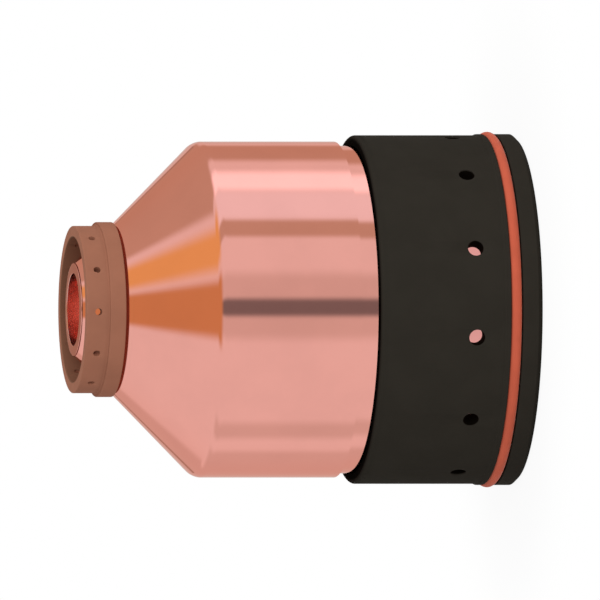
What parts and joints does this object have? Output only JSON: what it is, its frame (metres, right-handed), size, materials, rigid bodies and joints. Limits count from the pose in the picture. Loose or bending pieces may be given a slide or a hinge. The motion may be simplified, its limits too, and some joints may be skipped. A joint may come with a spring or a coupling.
{
  "type": "plasma torch retaining cap",
  "caption": "Turned copper retaining cap with a cone and open nose, a drilled insulator ring at the nose, and an insulating rear sleeve with vents and a seal ring.",
  "frame": {"origin": "centre of the face of the open rear rim, on the cap's axis", "axes": "+Z along the axis, from the open rear rim towards the nose; X and Y lie in the plane of the rim"},
  "size_m": [0.051, 0.051, 0.0642],
  "materials": {
    "copper": "polished copper, turned",
    "brown_insulator": "matte moulded resin, brown",
    "black_insulator": "satin moulded resin, black",
    "seal_rubber": "smooth silicone, orange-red"
  },
  "bodies": {
    "root": {"copper_shell": "copper", "swirl_ring": "brown_insulator", "rear_sleeve": "black_insulator", "o_ring": "seal_rubber"}
  },
  "joints": []
}
